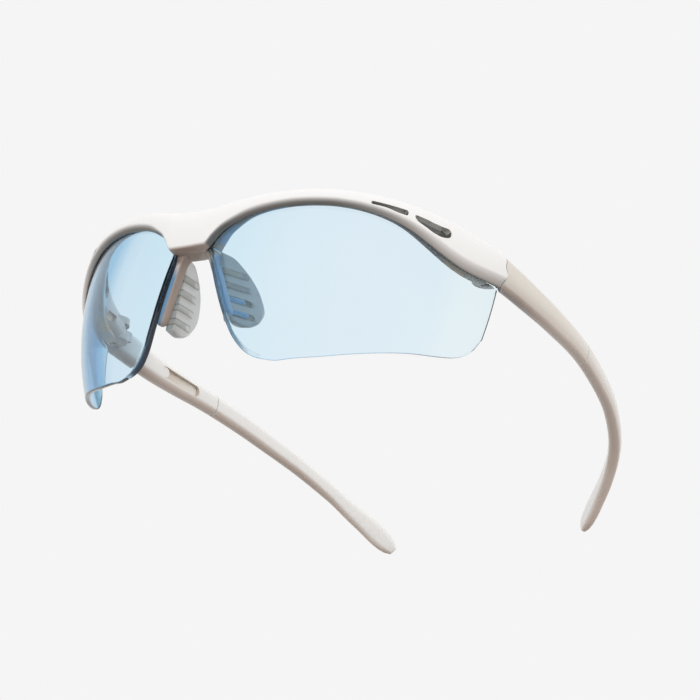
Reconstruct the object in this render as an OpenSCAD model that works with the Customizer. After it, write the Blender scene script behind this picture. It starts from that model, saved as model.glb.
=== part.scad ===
// Sports safety glasses: a half-rim front that carries two wrapped lenses, soft nose pads
// and two folding temples whose rear arms slide out of their sleeves.
// X runs from the wearer's right to left, Y from the bridge back to the temple tips, Z up.
// The glasses stand on the temple tips and, to within half a millimetre, on the lenses.

/* [Lenses] */
// Horizontal radius of a lens front at its fullest height
lens_radius = 69.7; // [66:0.1:74]
// Vertical radius of a lens front
bulge_radius = 90; // [80:1:110]
// Height at which the lens is fullest, in percent of the height of the front
bulge_share = 73; // [66:1:80]
// Backward lean of the wrap axis, in degrees
lens_lean = 11.2; // [9:0.1:13]
// Thickness of a lens
lens_t = 2.6; // [2.2:0.1:3]
// Thickness of a lens at its lower edge, towards which it tapers
lens_low_t = 1.3; // [1.1:0.1:2.2]
// How far the lens front stands ahead of the datum at the nose
bridge_y = 12.7; // [12:0.1:13.4]
// Angle round the wrap at which a lens begins beside the nose
lens_inner_a = 4.5; // [4:0.1:5.5]
// Angle round the wrap at which a lens ends
lens_outer_a = 78; // [76.5:0.1:78.5]

/* [Front frame] */
// Height of the front, from the lower edge of the lenses to the top of the brow
front_h = 52.7; // [49:0.1:56]
// How far the brow stands proud of the lens
brow_lip = 2.0; // [1.6:0.1:2.4]
// How deep the brow reaches behind the lens front
brow_depth = 3.6; // [3.5:0.1:4.2]
// How far the bridge stands proud of the lens surface
bridge_lip = 3.0; // [2.4:0.1:3.6]
// How deep the bridge reaches behind the lens front
bridge_depth = 7.0; // [6:0.1:8]
// Depth of the groove that holds a lens
groove_depth = 1.4; // [1.2:0.1:1.5]
// How far the groove's rear wall stops above its front wall
rear_rise = 0.8; // [0.5:0.1:0.9]
// Play of a lens in its groove
lens_gap = 0.1; // [0.05:0.01:0.15]
// Height of the outer vent slot at its rear end
vent_h = 3.7; // [3:0.1:4]

/* [Nose] */
// Thickness of a nose arm
nose_arm_t = 2.3; // [1.9:0.1:2.7]
// Front to back width of a nose arm
nose_arm_w = 3.4; // [3:0.1:3.8]
// Length of a nose arm below the bridge
nose_arm_len = 18.8; // [16:0.1:20]
// Thickness of a nose pad
pad_t = 2.8; // [2.2:0.1:3.4]
// Width of the flat fingers that hold a nose pad
finger_w = 1.5; // [1.2:0.1:1.8]
// Thickness of a finger
finger_t = 1.0; // [0.8:0.1:1.2]
// Length of a finger
finger_len = 7.0; // [6:0.1:7.4]
// Length of the moulded slot round each finger
finger_slot = 10.0; // [8:0.1:10.4]
// Number of fingers on each nose arm
fingers = 4; // [3:1:4]
// Play between a pad and its arm
pad_gap = 0.1; // [0.05:0.01:0.15]

/* [Hinge] */
// Angle round the wrap at which the hinge axis stands
hinge_a = 75.9; // [75:0.1:76.5]
// Distance of the hinge axis behind the lens front
hinge_in = 3.5; // [3.3:0.1:4.2]
// Radius of the hinge boss
boss_r = 4.4; // [4:0.1:4.8]
// Radius of the temple's knuckle
knuckle_r = 3.4; // [3:0.1:3.6]
// How far the underside of the hinge boss lies above the lower edge of the brow
boss_rise = 1.3; // [1.1:0.1:1.5]
// Thickness of the boss's lower ear
ear_low = 2.0; // [1.8:0.1:2.2]
// Height of the slot between the ears
slot_h = 3.4; // [3:0.1:3.6]
// Thickness of the boss's upper ear
ear_high = 2.0; // [1.8:0.1:2.2]
// Play above and below the knuckle
ear_gap = 0.2; // [0.1:0.01:0.3]
// Gap between the temple and the front
seam_gap = 0.3; // [0.2:0.01:0.4]
// Diameter of the screw's shaft
screw_d = 1.8; // [1.4:0.1:2.2]
// Diameter of the screw's head
screw_head_d = 3.0; // [2.6:0.1:3.2]
// Height of the screw's head
screw_head_h = 0.9; // [0.7:0.1:1.1]
// Radial play of the knuckle on the screw
screw_play = 0.05; // [0.02:0.01:0.08]

/* [Temples] */
// Thickness of a temple at the hinge
temple_t = 5.2; // [4.8:0.1:5.6]
// Height of a temple at the hinge
temple_h = 8.0; // [7.4:0.1:8.6]
// Distance of the seam between sleeve and arm behind the hinge
sleeve_len = 56.5; // [54:0.5:59]
// Distance of the temple tips behind the hinge
temple_len = 118.2; // [114:0.1:122]
// Thickness of the sliding tongue
tongue_t = 2.0; // [1.6:0.1:2.2]
// Height of the sliding tongue
tongue_h = 4.2; // [3.8:0.1:4.4]
// Length of the tongue inside the sleeve
tongue_len = 28; // [26:0.5:29]
// Play round the tongue
tongue_gap = 0.15; // [0.1:0.01:0.2]
// Travel of the arm
travel = 15; // [12:0.5:15.5]
// Diameter of the stud on the tongue
stud_d = 3.2; // [2.8:0.1:3.6]

/* [Hidden] */
$fn = 48;

// Distance of the wrap axis behind the datum at the fullest height of the lens
wrap_y = lens_radius - bridge_y;
bulge_z = front_h * bulge_share / 100;
// Place of the hinge axis
hinge_x = (lens_radius - hinge_in) * sin(hinge_a);
hinge_y = wrap_y - (lens_radius - hinge_in) * cos(hinge_a);
sleeve_end_y = hinge_y + sleeve_len;
tip_y = hinge_y + temple_len;
// Small overlap that lets joined shapes merge
weld = 0.3;

// Outlines are functions: each is a row of pairs with a smooth curve through them. The
// first number is an angle round the wrap, a share of a length, or a distance.
// Heights along the brow, in percent of the height of the front, by angle
brow_low = [[0, 63.3], [4.6, 63.6], [6, 68.5], [8, 74.3], [10, 77.6], [13, 81.7], [16, 84.4],
            [20, 86.8], [24, 88.4], [28, 89.2], [32, 89.5], [37, 88.8], [42, 87], [46, 84.7],
            [50, 81.4], [52, 79.3], [56, 74.5], [60, 69.9], [63, 67], [66, 64.8], [70, 63.2],
            [77, 62.4], [81, 62.4]];
brow_top = [[0, 89.8], [4, 90.5], [8, 92.1], [13, 94.8], [20, 97.9], [28, 99.7], [33, 100],
            [40, 99.3], [46, 97.9], [52, 96], [60, 92.9], [66, 89.4], [72, 86.4], [79, 84],
            [81, 83.4]];
lens_low = [[4.3, 66], [8, 39.9], [10.6, 24.8], [13.3, 13.6], [16.5, 6.6], [20.5, 2.3], [24.5, 0.8],
            [29, 2.6], [36, 4.7], [47, 8.9], [59, 12.9], [66, 14.5], [70.5, 16.1], [74, 18.9],
            [76.4, 24.1], [78, 31.9]];
// Share of the bridge in the brow's depth, from 1 at the nose to 0 along the brow
bridge_share = [[0, 1], [5, 0.92], [9, 0.45], [14, 0.08], [18, 0]];
// Extra depth of the brow towards the hinge
end_depth = [[0, 0], [46, 0], [58, 0.7], [66, 1.3], [72, 1.8], [81, 2]];
// Extra lip of the brow towards the hinge
end_lip = [[0, 0], [60, 0], [72, 0.2], [81, 0.4]];
// Height of the slope along the lip's lower edge, which turns in to the lens
lip_slope = [[0, 0.5], [6, 0.7], [14, 1.3], [44, 1.3], [60, 2.2], [81, 2.4]];
// Lower and upper edges of the vent slots, in percent of the height of the front
vent_1_low = [[41, 91.3], [44.2, 90.4], [47.4, 88.3], [49.9, 87.2]];
vent_1_high = [[41, 93.4], [45.2, 92.2], [49.9, 90.6]];
vent_2_low = [[51.6, 86.8], [52.6, 84.9], [54.8, 82.3], [56.9, 79.9], [58.9, 78.8], [61, 79.3]];
// How far the hinge lug reaches behind the lens front, and how far its underside rises, by angle
lug_depth = [[64, 4.6], [67, 6.0], [70, 7.0], [77, 7.6]];
lug_rise = [[64, 3.6], [66, 2.0], [69, 0.6], [72, 0], [77, 0]];

// The temple's centreline, by its distance behind the hinge in percent of the temple's length:
// distance outwards from the hinge axis, in percent of the temple's length
temple_side = [[-3, 3.0], [7.5, 3.1], [21, 3.0], [34, 2.2], [46.5, 0.8], [59, -1.3],
               [70, -3.6], [78.7, -6.4], [84.7, -9], [89.3, -12], [93, -15.6],
               [96.5, -20.2], [100, -25.6]];
// and its height, in percent of the height of the front
temple_drop = [[-3, 72.6], [7.5, 70.8], [14.5, 69.3], [21, 67.9], [27.5, 66.7], [34.5, 65.5],
               [41, 64.5], [46.5, 63.3], [59, 58.8], [70, 53.1], [78.7, 46.7], [84.7, 40.4],
               [89.3, 33.4], [93, 24.9], [96.5, 15], [100, 1.9]];
// Shares of the temple's height and thickness along its length
height_share = [[-3, 1.35], [7.5, 1.24], [14.5, 1.17], [21, 1.09], [27.5, 1.03], [34.5, 0.96],
                [41, 0.9], [47, 0.86], [66.5, 0.78], [84.5, 0.66], [90, 0.64],
                [94.5, 0.76], [97.5, 0.84], [100, 0.6]];
thick_share = [[-3, 1.0], [15, 1.0], [47, 0.88], [71, 0.78], [92, 0.74], [97, 0.68],
               [100, 0.5]];

// Slope at point i of a row, kept flat at its peaks
function slope(p, i) =
    i == 0 ? (p[1][1] - p[0][1]) / (p[1][0] - p[0][0]) :
    i == len(p) - 1 ? (p[i][1] - p[i - 1][1]) / (p[i][0] - p[i - 1][0]) :
    let(a = (p[i][1] - p[i - 1][1]) / (p[i][0] - p[i - 1][0]),
        b = (p[i + 1][1] - p[i][1]) / (p[i + 1][0] - p[i][0]))
    a * b <= 0 ? 0 : 2 * a * b / (a + b);

// Smooth value of a row at x
function along(p, x) =
    x <= p[0][0] ? p[0][1] :
    x >= p[len(p) - 1][0] ? p[len(p) - 1][1] :
    let(i = max([for (k = [0 : len(p) - 2]) if (p[k][0] <= x) k]),
        w = p[i + 1][0] - p[i][0], t = (x - p[i][0]) / w)
    (2 * t ^ 3 - 3 * t ^ 2 + 1) * p[i][1] + (t ^ 3 - 2 * t ^ 2 + t) * w * slope(p, i)
    + (3 * t ^ 2 - 2 * t ^ 3) * p[i + 1][1] + (t ^ 3 - t ^ 2) * w * slope(p, i + 1);

// Value of a row of heights at x
function rise(p, x) = along(p, x) * front_h / 100;

// Radius of the wrapped surface at height z, moved outwards by off
function wrap_r(z, off) =
    lens_radius + off - bulge_radius + sqrt(bulge_radius ^ 2 - (z - bulge_z) ^ 2);

// Point on the wrapped surface at angle a and height z, moved outwards by off
function wrap(a, z, off = 0) =
    let(r = wrap_r(z, off))
    [r * sin(a), wrap_y + (z - bulge_z) * tan(lens_lean) - r * cos(a), z];

// Solid through rings of points; each ring runs anticlockwise seen from the far end
module loft(rings) {
    n = len(rings[0]);
    m = len(rings);
    sides = [for (i = [0 : m - 2], j = [0 : n - 1])
             let(a = i * n + j, b = i * n + (j + 1) % n) each [[a, a + n, b + n], [a, b + n, b]]];
    caps = [[for (j = [0 : n - 1]) j], [for (j = [n - 1 : -1 : 0]) (m - 1) * n + j]];
    polyhedron(points = [for (r = rings) each r], faces = concat(sides, caps));
}

// Draws children for the right-hand side of the picture, or mirrored for the left
module side(left) {
    mirror([left ? 1 : 0, 0, 0]) children();
}

// Puts the finished glasses with the middle of their length at the origin
module placed() {
    translate([0, -mid_y, 0]) children();
}

// Front surface of the brow and its rear, measured from the lens front
function lip(a) = brow_lip + (bridge_lip - brow_lip) * along(bridge_share, a) + along(end_lip, a);
function depth(a) = brow_depth + (bridge_depth - brow_depth) * along(bridge_share, a)
                    + along(end_depth, a);
function groove_top(a) = rise(brow_low, a) + groove_depth;

// Heights of the bridge's underside and of the hinge
bridge_z = rise(brow_low, 0);
boss_low = rise(brow_low, hinge_a) + boss_rise;
slot_low = boss_low + ear_low;
slot_high = slot_low + slot_h;
boss_high = slot_high + ear_high;
screw_end = boss_high - 0.5;

// Distance from the datum to the middle of the glasses' length, found from both ends
mid_y = (wrap(0, bridge_z + 1.1, lip(0))[1] + tip_y + 1.145) / 2;

// Section of the brow at angle a: a rounded bar with the lens groove in its underside
function brow_ring(a) =
    let(s = abs(a), lo = rise(brow_low, s), hi = rise(brow_top, s), f = lip(s), b = depth(s),
        g = groove_top(s), h = hi - lo, in = lens_t + lens_gap, c = along(lip_slope, s),
        r = lo + rear_rise * (1 - along(bridge_share, s)))
    [for (q = [[lens_gap + 0.4, lo], [lens_gap, lo], [lens_gap, g], [-in, g], [-in, r],
               [0.4 - b, r], [-b, r + 0.5], [-b, hi - 0.35 * h], [0.9 - b, hi - 0.12 * h],
               [0.3 * (f - b), hi], [0.5 * f, hi - 0.06 * h], [f - 0.35, hi - 0.24 * h],
               [f, hi - 0.48 * h], [f, lo + c + 0.6], [f - 0.35, lo + c]])
     wrap(a, q[1], q[0])];

function brow_angles(end) = concat([for (a = [0 : 1.5 : 13.5]) a], [for (a = [16 : 3 : end]) a],
                                   [end]);

module brow() {
    half = brow_angles(80);
    angles = concat([for (i = [len(half) - 1 : -1 : 1]) -half[i]], half);
    loft([for (a = angles) brow_ring(a)]);
}

// Closes the groove between the two lenses
module bridge_core() {
    end = lens_inner_a - 0.25;
    loft([for (a = [-end : end / 3 : end + 0.01])
          [for (q = [[lens_gap + weld, 0.05], [-lens_t - weld - lens_gap, 0.1],
                     [-lens_t - weld - lens_gap, groove_depth + weld],
                     [lens_gap + weld, groove_depth + weld]])
           wrap(a, rise(brow_low, abs(a)) + q[1], q[0])]]);
}

// A vent slot through the brow, between a lower and an upper edge given at one row of angles
module vent(angles, low, high) {
    loft([for (i = [0 : len(angles) - 1])
          [for (q = [[6, low[i]], [-9, low[i]], [-9, high[i]], [6, high[i]]])
           wrap(angles[i], q[1], q[0])]]);
}

function spread(from, to, n) = [for (i = [0 : n]) from + (to - from) * i / n];

module vents() {
    one = spread(vent_1_low[0][0], vent_1_low[3][0], 5);
    two = spread(vent_2_low[0][0], vent_2_low[5][0], 7);
    vent(one, [for (a = one) rise(vent_1_low, a)], [for (a = one) rise(vent_1_high, a)]);
    // The outer slot opens towards its rear end
    vent(two, [for (a = two) rise(vent_2_low, a)],
         [for (i = [0 : 7]) rise(vent_2_low, two[i])
          + vent_h * [0.3, 0.6, 0.78, 0.92, 1.03, 1.07, 1, 0.6][i]]);
}

// Middle of a nose arm at height z
function arm_mid(z) = [5 + (bridge_z - z) * 0.335, -9.5 + (bridge_z - z) * 0.045, z];
nose_arm_z = bridge_z - nose_arm_len;

module nose_arm() {
    levels = [0, 0.8, 2.4, nose_arm_len * 0.4, nose_arm_len * 0.7, nose_arm_len + 2.6];
    ends = [0.5, 0.85, 1, 1, 1, 1];
    loft([for (i = [0 : 5])
          let(m = arm_mid(nose_arm_z + levels[i]), w = nose_arm_w / 2 * ends[i], t = nose_arm_t / 2)
          [for (k = [[-1, -0.6], [-0.6, -1], [0.6, -1], [1, -0.6], [1, 0.6], [0.6, 1],
                     [-0.6, 1], [-1, 0.6]])
           m + [k[0] * t, k[1] * w, 0]]]);
}

// Heights of the fingers on a nose arm, and the place where each leaves it
function finger_z(i) = nose_arm_z + nose_arm_len * (0.085 + 0.217 * i);

// A flat bar with a round end, which runs back from the arm and slightly up
module finger(i, w, t, long) {
    translate(arm_mid(finger_z(i)) - [0.3, 0, 0]) rotate([6, 0, -11]) translate([-t / 2, 0, -w / 2]) {
        cube([t, long - w / 2, w]);
        translate([0, long - w / 2, w / 2]) rotate([0, 90, 0]) cylinder(d = w, h = t, $fn = 16);
    }
}

module nose_fingers() {
    for (i = [0 : fingers - 1])
        finger(i, finger_w, finger_t, nose_arm_w / 2 + finger_len);
}

module at_hinge(z) {
    translate([hinge_x, hinge_y, z]) children();
}

// Everything behind the seam line on the outer side of the hinge
module behind_seam(gap) {
    // Distance behind the hinge axis, by the height above the underside of the boss
    seam = [[-4, 2.1], [0.1, 1.0], [2.3, 2.4], [4.8, 1.1], [6.9, 2.2], [12, 2.6]];
    rows = [for (z = [-4 : 0.8 : 12]) [hinge_y + along(seam, z) + gap, boss_low + z]];
    translate([hinge_x - 8, 0, 0])
        rotate([90, 0, 90])
            linear_extrude(height = 20)
                polygon(concat(rows, [[hinge_y + 20, boss_low + 12], [hinge_y + 20, boss_low - 4]]));
}

// The wedge that the temple's web sweeps inside the boss
module web_slot() {
    at_hinge(slot_low) {
        linear_extrude(height = slot_h)
            polygon(concat([[0, 0]], [for (a = [12 : 9 : 192]) 9 * [cos(a), sin(a)]]));
        cylinder(r = knuckle_r + seam_gap, h = slot_h);
    }
}

// Lug that carries the boss: it grows out of the brow's rear wall
module lug() {
    loft([for (a = [64, 66, 68, 70, 72, 74, hinge_a])
          let(d = along(lug_depth, a), lo = boss_low + along(lug_rise, a), hi = slot_high)
          [for (q = [[-lens_t - 0.2, lo], [1.4 - d, lo], [-d, lo + 1.6], [-d, hi],
                     [-lens_t - 0.2, hi]])
           wrap(a, q[1], q[0])]]);
}

// Small pocket in the inner face of the lug
module lug_pocket() {
    loft([for (a = [67, 68.5, 70, 71.5])
          [for (q = [[1 - along(lug_depth, a), slot_low + 0.3], [-12, slot_low + 0.3],
                     [-12, slot_low + 2.6], [1 - along(lug_depth, a), slot_low + 2.6]])
           wrap(a, q[1], q[0])]]);
}

module hinge_end() {
    top = groove_top(72);
    difference() {
        union() {
            lug();
            at_hinge(boss_low) {
                cylinder(r1 = boss_r - 0.7, r2 = boss_r, h = 0.7);
                translate([0, 0, 0.7]) cylinder(r = boss_r, h = boss_high - boss_low - 0.7);
            }
        }
        web_slot();
        lug_pocket();
        // Room for the upper corner of the lens
        translate([0, wrap(0, top, 0)[1] + wrap_r(top, 0), top - 5]) difference() {
            cylinder(r = lens_radius + 12, h = 5, $fn = 24);
            translate([0, 0, -1]) cylinder(r = wrap_r(top, -lens_t - 0.2), h = 7, $fn = 144);
        }
    }
}

module screw_bore() {
    at_hinge(boss_low - 4) cylinder(d = screw_head_d + 0.2, h = 4 + screw_head_h + 0.2);
    at_hinge(boss_low) cylinder(d = screw_d + 0.04, h = screw_end - boss_low + 0.1);
}

module both_sides() {
    children();
    mirror([1, 0, 0]) children();
}

module front_frame() {
    color("whitesmoke") placed() difference() {
        union() {
            difference() {
                brow();
                both_sides() {
                    behind_seam(0);
                    vents();
                    web_slot();
                }
            }
            bridge_core();
            both_sides() {
                hinge_end();
                nose_arm();
                nose_fingers();
            }
        }
        both_sides() screw_bore();
    }
}

// Lower edge of a lens, moved with its first and last angle
function lens_bottom(a) =
    let(first = lens_low[0][0], last = lens_low[len(lens_low) - 1][0],
        u = (a - lens_inner_a) / (lens_outer_a - lens_inner_a))
    rise(lens_low, first + u * (last - first));

// The upper edge of a lens dips at its outer corner, clear of the hinge screw
corner_dip = [[72.5, 0], [74.5, 0.9], [76.5, 1.1], [78, 2]];

// Thickness of a lens at height z
function lens_depth(z) = lens_low_t + (lens_t - lens_low_t) * min(1, z / (0.35 * front_h));

module lens(left) {
    rows = 8;
    span = lens_outer_a - lens_inner_a;
    angles = [for (u = concat([for (k = [0 : 7]) k * 0.016], [for (k = [0 : 15]) 0.14 + k * 0.045],
                              [for (k = [0 : 7]) 0.86 + k * 0.02]))
              lens_inner_a + u * span];
    color("lightblue", 0.6) placed() side(left)
        loft([for (a = angles)
              let(lo = lens_bottom(a), hi = groove_top(a) - lens_gap - along(corner_dip, a))
              concat([for (k = [rows : -1 : 0]) wrap(a, lo + (hi - lo) * k / rows, 0)],
                     [for (k = [0 : rows])
                      let(z = lo + (hi - lo) * k / rows) wrap(a, z, -lens_depth(z))])]);
}
module lens_left() { lens(true); }
module lens_right() { lens(false); }

// Rear edge of a nose pad, by the share of its height
pad_rear = [[0, -1.0], [0.067, 3.0], [0.21, 7.0], [0.4, 9.2], [0.59, 8.2], [0.78, 5.0],
            [0.924, 0.4], [1, -3.2]];
pad_low_z = nose_arm_z - 1;
pad_high_z = bridge_z + 1.2;

// Middle of the pad's thickness at y and z
function pad_x(y, z) = 7.3 + 0.2 * y + 0.19 * (pad_high_z - 0.4 - z);

module nose_pad(left) {
    levels = [0, 0.038, 0.095, 0.21, 0.4, 0.59, 0.78, 0.895, 0.962, 1];
    color("gainsboro", 0.7) placed() side(left) difference() {
        loft([for (u = levels)
              let(z = pad_low_z + u * (pad_high_z - pad_low_z),
                  front = arm_mid(z)[1] + nose_arm_w / 2 + pad_gap, rear = along(pad_rear, u),
                  edge = u == 0 || u == 1 ? 0.35 : 1,
                  t = pad_t / 2 * edge, w = rear - front)
              [for (q = [[0, -0.7], [0.12, -1], [0.5, -1], [0.85, -0.8], [1, 0], [0.85, 0.8],
                         [0.5, 1], [0.12, 1], [0, 0.7]])
               let(y = front + q[0] * w) [pad_x(y, z) - q[1] * t, y, z]]]);
        for (i = [0 : fingers - 1])
            finger(i, finger_w + 2 * pad_gap, finger_t + 2 * pad_gap, nose_arm_w / 2 + finger_slot);
    }
}
module nose_pad_left() { nose_pad(true); }
module nose_pad_right() { nose_pad(false); }

module hinge_screw(left) {
    color("dimgray") placed() side(left) difference() {
        union() {
            at_hinge(boss_low) cylinder(d = screw_head_d, h = screw_head_h);
            at_hinge(boss_low) cylinder(d = screw_d, h = screw_end - boss_low);
        }
        for (turn = [0, 90])
            at_hinge(boss_low) rotate(turn)
                cube([screw_head_d * 0.65, 0.5, screw_head_h], center = true);
    }
}
module hinge_screw_left() { hinge_screw(true); }
module hinge_screw_right() { hinge_screw(false); }

// Centreline of a temple
function percent(y) = 100 * (y - hinge_y) / temple_len;
function temple_at(y) = [hinge_x + along(temple_side, percent(y)) * temple_len / 100, y,
                         rise(temple_drop, percent(y))];
function unit(v) = v / norm(v);
function temple_dir(y) =
    let(e = min(y + 0.2, tip_y)) unit(temple_at(e) - temple_at(e - 0.4));

// The direction in which an arm slides, set by the rear half of its sleeve
slide_dir = unit(temple_at(sleeve_end_y) - temple_at(sleeve_end_y - tongue_len));

// Ring of a temple at y: a rounded bar square to the direction d
function temple_ring(y, d, grow = 0, squash = 1) =
    let(c = temple_at(y), out = unit([d[1], -d[0], 0]), up = cross(out, d),
        t = temple_t / 2 * along(thick_share, percent(y)) * squash + grow,
        h = temple_h / 2 * along(height_share, percent(y)) * squash + grow)
    [for (k = [[-1, -0.55], [-0.5, -0.97], [0.3, -1], [0.85, -0.7], [1, -0.2], [1, 0.3],
               [0.7, 0.86], [0.2, 1], [-0.5, 0.97], [-1, 0.6]])
     c - k[1] * h * up + k[0] * t * out];

// Puts the children on the seam with Z along the slide and Y up the temple
module at_seam() {
    out = unit([slide_dir[1], -slide_dir[0], 0]);
    up = cross(out, slide_dir);
    c = temple_at(sleeve_end_y);
    multmatrix([[out[0], up[0], slide_dir[0], c[0]],
                [out[1], up[1], slide_dir[1], c[1]],
                [out[2], up[2], slide_dir[2], c[2]],
                [0, 0, 0, 1]]) children();
}

module temple_sleeve(left) {
    color("white") placed() side(left) difference() {
        union() {
            difference() {
                loft([for (u = [-0.02, 0.04, 0.14, 0.27, 0.4, 0.52, 0.65, 0.77, 0.88])
                      let(y = hinge_y + u * sleeve_len) temple_ring(y, temple_dir(y))]);
                at_hinge(0) cylinder(r = boss_r + seam_gap, h = 60);
                difference() {
                    translate([hinge_x - 8, hinge_y - 12, boss_low - 14]) cube([20, 24, 40]);
                    behind_seam(seam_gap);
                }
            }
            at_hinge(slot_low + ear_gap) {
                cylinder(r = knuckle_r, h = slot_h - 2 * ear_gap);
                translate([-1.6, 0, 0]) cube([5, boss_r + 2.5, slot_h - 2 * ear_gap]);
            }
            sleeve_rear();
        }
        at_hinge(0) cylinder(d = screw_d + 2 * screw_play, h = 60);
        tongue_cavity();
    }
}

// Last stretch of a sleeve, which ends square to the slide
module sleeve_rear() {
    y = hinge_y + 0.878 * sleeve_len;
    loft([temple_ring(y, temple_dir(y)), temple_ring(sleeve_end_y, slide_dir)]);
}

// Hollow for the tongue and the slot for its stud
module tongue_cavity() {
    w = tongue_t / 2 + tongue_gap;
    h = tongue_h / 2 + tongue_gap;
    at_seam() {
        translate([-w, -h, -tongue_len - seam_gap]) cube([2 * w, 2 * h, tongue_len + 2 * seam_gap]);
        for (z = [0, travel])
            translate([0, 0, stud_z + z]) rotate([0, -90, 0])
                cylinder(d = stud_d + 2 * tongue_gap, h = temple_t);
        translate([-temple_t, -stud_d / 2 - tongue_gap, stud_z])
            cube([temple_t, stud_d + 2 * tongue_gap, travel]);
    }
}

// Place of the stud along the slide, measured back from the seam
stud_z = -tongue_len + stud_d / 2 + 0.6;

module temple_arm(left) {
    ys = [for (u = [0, 0.1, 0.22, 0.33, 0.43, 0.51, 0.59, 0.66, 0.72, 0.78, 0.827, 0.867, 0.9,
                    0.932, 0.957, 0.977]) sleeve_end_y + u * (tip_y - sleeve_end_y)];
    color("white") placed() side(left) union() {
        translate(seam_gap * slide_dir)
            loft(concat([temple_ring(sleeve_end_y, slide_dir)],
                        [for (i = [1 : len(ys) - 1]) temple_ring(ys[i], temple_dir(ys[i]))],
                        [temple_ring(tip_y, temple_dir(tip_y), 0, 0.55)]));
        at_seam() {
            translate([-tongue_t / 2, -tongue_h / 2, -tongue_len])
                cube([tongue_t, tongue_h, tongue_len + 3]);
            translate([0, 0, stud_z]) rotate([0, -90, 0])
                cylinder(d = stud_d, h = temple_t / 2 * along(thick_share, 25) - 0.3);
        }
    }
}
module temple_sleeve_left() { temple_sleeve(true); }
module temple_sleeve_right() { temple_sleeve(false); }
module temple_arm_left() { temple_arm(true); }
module temple_arm_right() { temple_arm(false); }

front_frame();
lens_left();
lens_right();
nose_pad_left();
nose_pad_right();
hinge_screw_left();
hinge_screw_right();
temple_sleeve_left();
temple_sleeve_right();
temple_arm_left();
temple_arm_right();
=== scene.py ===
import math

import bmesh
import bpy
from mathutils import Matrix, Vector


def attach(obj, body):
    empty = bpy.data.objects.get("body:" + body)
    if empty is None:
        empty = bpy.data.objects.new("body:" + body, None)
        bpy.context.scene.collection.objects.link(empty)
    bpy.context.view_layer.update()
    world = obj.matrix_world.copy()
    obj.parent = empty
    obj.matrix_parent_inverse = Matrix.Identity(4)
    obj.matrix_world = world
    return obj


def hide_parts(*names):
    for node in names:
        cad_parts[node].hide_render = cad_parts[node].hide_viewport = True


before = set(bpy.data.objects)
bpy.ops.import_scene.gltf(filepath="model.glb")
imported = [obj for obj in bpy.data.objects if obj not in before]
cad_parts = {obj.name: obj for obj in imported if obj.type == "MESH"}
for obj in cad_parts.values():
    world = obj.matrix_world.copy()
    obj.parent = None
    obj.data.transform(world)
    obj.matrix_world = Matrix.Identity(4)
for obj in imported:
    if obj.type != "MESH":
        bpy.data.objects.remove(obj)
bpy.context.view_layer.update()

# Shapes are drawn in mm from the datum at the nose: X to the picture's right, Y back, Z up.
# MID is the distance from the datum to the middle of the glasses' length.
MM = 0.001
MID = 71.9064


def linked(name, data):
    """A new object in the scene."""
    obj = bpy.data.objects.new(name, data)
    bpy.context.scene.collection.objects.link(obj)
    return obj


# ---------------------------------------------------------------- camera
# The camera fitted to the photo: its place in mm, and the directions of the picture's right,
# of its down and of the view
CAM_POS = (601.02, -868.62, -373.37)
CAM_RIGHT = (0.853671, 0.516674, 0.065528)
CAM_DOWN = (-0.125245, 0.325785, -0.937111)
CAM_AHEAD = (-0.505529, 0.791778, 0.342824)
FOCAL_PX, PICTURE_PX, SENSOR_MM = 4000, 700, 36

cam_data = bpy.data.cameras.new("camera")
cam = linked("camera", cam_data)
m = Matrix.Identity(4)
for i in range(3):
    m[i][0], m[i][1], m[i][2] = CAM_RIGHT[i], -CAM_DOWN[i], -CAM_AHEAD[i]
m.translation = Vector((CAM_POS[0], CAM_POS[1] - MID, CAM_POS[2])) * MM
cam.matrix_world = m
cam_data.lens = FOCAL_PX / PICTURE_PX * SENSOR_MM
cam_data.sensor_width = SENSOR_MM
cam_data.clip_start = 0.01
cam_data.clip_end = 20
bpy.context.scene.camera = cam

# ---------------------------------------------------------------- materials
# The Mix node's sockets for colours
MIX_SHARE, MIX_A, MIX_B, MIX_OUT = 0, 6, 7, 2


def new_mat(name):
    """A new material, its nodes and its main shader."""
    mat = bpy.data.materials.new(name)
    mat.use_nodes = True
    nt = mat.node_tree
    return mat, nt, nt.nodes["Principled BSDF"]


def node(nt, kind, **inputs):
    n = nt.nodes.new(kind)
    for k, v in inputs.items():
        n.inputs[k].default_value = v
    return n


def ramp(nt, value, *stops):
    """The colour that a value stands for; stops are (value, colour), in rising order."""
    n = nt.nodes.new("ShaderNodeValToRGB")
    marks = n.color_ramp.elements
    for k, (at, colour) in enumerate(stops):
        mark = marks[k] if k < 2 else marks.new(at)
        mark.position = at
        mark.color = (*colour, 1)
    nt.links.new(value, n.inputs["Fac"])
    return n.outputs["Color"]


def multiplied(nt, colour, factor=(1, 1, 1, 1)):
    """The Mix node that multiplies a colour by a factor, which can also be linked to MIX_B."""
    n = nt.nodes.new("ShaderNodeMix")
    n.data_type = "RGBA"
    n.blend_type = "MULTIPLY"
    n.inputs[MIX_SHARE].default_value = 1.0
    n.inputs[MIX_B].default_value = factor
    nt.links.new(colour, n.inputs[MIX_A])
    return n


def mixed(nt, share, low, high):
    """The shader that is low where the share is 0 and high where it is 1."""
    n = nt.nodes.new("ShaderNodeMixShader")
    nt.links.new(share, n.inputs["Fac"])
    nt.links.new(low, n.inputs[1])
    nt.links.new(high, n.inputs[2])
    return n.outputs[0]


def mesh_tone(nt):
    """The tone that each mesh carries: its tint, with painted shade in grooves, slots and on
    undersides, and painted light where light has passed the lens.
    """
    n = nt.nodes.new("ShaderNodeVertexColor")
    n.layer_name = "tone"
    return n.outputs["Color"]


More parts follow.
